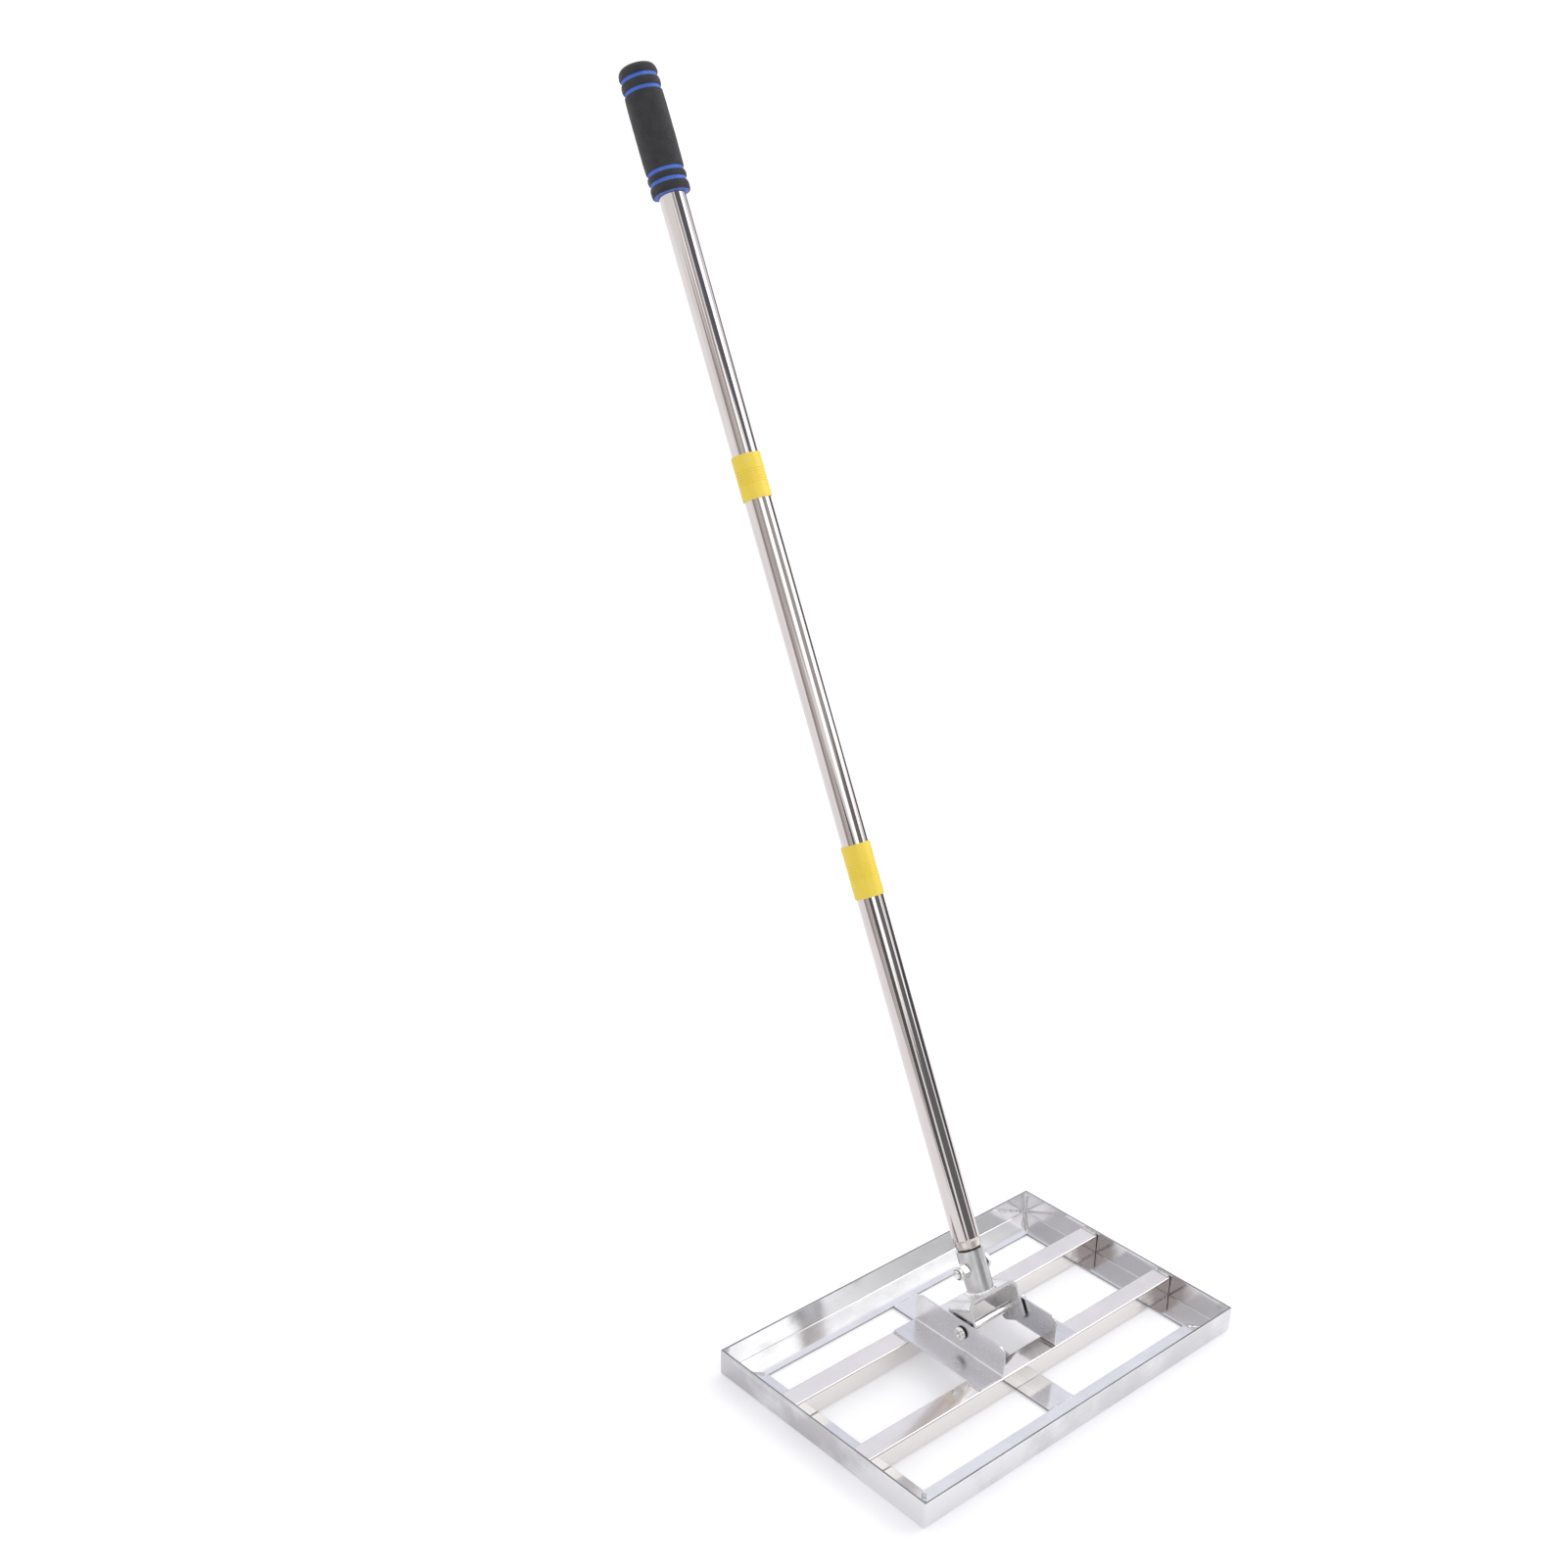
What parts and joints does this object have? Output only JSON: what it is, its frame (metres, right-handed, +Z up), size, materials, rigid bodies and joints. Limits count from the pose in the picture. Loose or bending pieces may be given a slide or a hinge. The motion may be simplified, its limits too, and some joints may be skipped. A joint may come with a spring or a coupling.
{
  "type": "lawn leveling rake",
  "caption": "Flat rectangular steel head with cross bars, on a long sectioned tube handle that tilts on a bolted pivot, for spreading and levelling top dressing.",
  "frame": {"origin": "middle of the head's footprint, on the ground, on the underside of the middle strap", "axes": "+X along the head's long side, +Y towards the user (the handle leans that way), +Z up"},
  "size_m": [0.406, 0.6583, 1.0933],
  "materials": {
    "rail_steel": "satin",
    "bar_steel": "polished",
    "weld_metal": "satin",
    "lug_steel": "satin",
    "saddle_steel": "satin",
    "socket_steel": "satin",
    "fastener_steel": "polished",
    "tube_steel": "polished",
    "spigot_metal": "satin",
    "joint_plastic": "matte",
    "sleeve_plastic": "satin",
    "grip_inner_foam": "matte",
    "grip_outer_foam": "matte"
  },
  "bodies": {
    "head": {"rear_rail": "rail_steel", "front_rail": "rail_steel", "left_rail": "rail_steel", "right_rail": "rail_steel", "center_strap": "rail_steel", "rear_bar": "bar_steel", "front_bar": "bar_steel", "left_lug": "lug_steel", "right_lug": "lug_steel", "corner_welds": "weld_metal", "bar_welds": "weld_metal", "strap_welds": "weld_metal", "lug_welds": "weld_metal", "pivot_bolt": "fastener_steel", "pivot_washers": "fastener_steel", "pivot_nut": "fastener_steel"},
    "handle": {"socket_weld": "weld_metal", "saddle": "saddle_steel", "socket_tube": "socket_steel", "cross_bolt": "fastener_steel", "cross_nut": "fastener_steel", "lower_tube": "tube_steel", "middle_tube": "tube_steel", "upper_tube": "tube_steel", "handle_spigot": "spigot_metal", "lower_insert": "joint_plastic", "lower_stud": "joint_plastic", "upper_insert": "joint_plastic", "upper_stud": "joint_plastic", "tube_plug": "joint_plastic", "lower_sleeve": "sleeve_plastic", "upper_sleeve": "sleeve_plastic", "grip_core": "grip_inner_foam", "grip_cover": "grip_outer_foam"}
  },
  "joints": [
    {"name": "handle_tilt", "type": "hinge", "parent": "head", "child": "handle", "pos_m": [0, -0.0065, 0.041], "axis": [-1, 0, 0], "range_deg": [-116.6, 63.4]}
  ]
}
